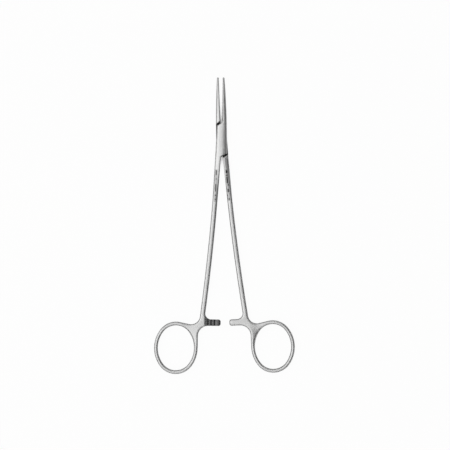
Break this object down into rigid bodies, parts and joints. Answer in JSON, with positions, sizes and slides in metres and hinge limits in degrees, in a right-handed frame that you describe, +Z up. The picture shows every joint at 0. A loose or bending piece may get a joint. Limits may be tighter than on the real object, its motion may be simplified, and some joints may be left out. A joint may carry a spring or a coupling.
{
  "type": "straight hemostat forceps",
  "caption": "Long, slender, straight hemostat forceps with serrated jaws, a riveted box lock, a toothed ratchet and oval finger rings, in satin steel.",
  "frame": {"origin": "where the pivot axis meets the flat of the box lock's underside", "axes": "+Y runs from the pivot to the jaw tips, +X is to the right seen from above, +Z is up along the pivot axis; the forceps lies flat"},
  "size_m": [0.0854, 0.1795, 0.0046],
  "materials": {
    "satin_steel": "satin",
    "rivet_steel": "satin"
  },
  "bodies": {
    "box_arm": {"box_half": "satin_steel", "pivot_rivet": "rivet_steel"},
    "tongue_arm": {"tongue_half": "satin_steel"}
  },
  "joints": [
    {"name": "pivot", "type": "hinge", "parent": "box_arm", "child": "tongue_arm", "pos_m": [0, 0, 0.0023], "axis": [0, 0, 1], "range_deg": [-3.6, 52]}
  ]
}
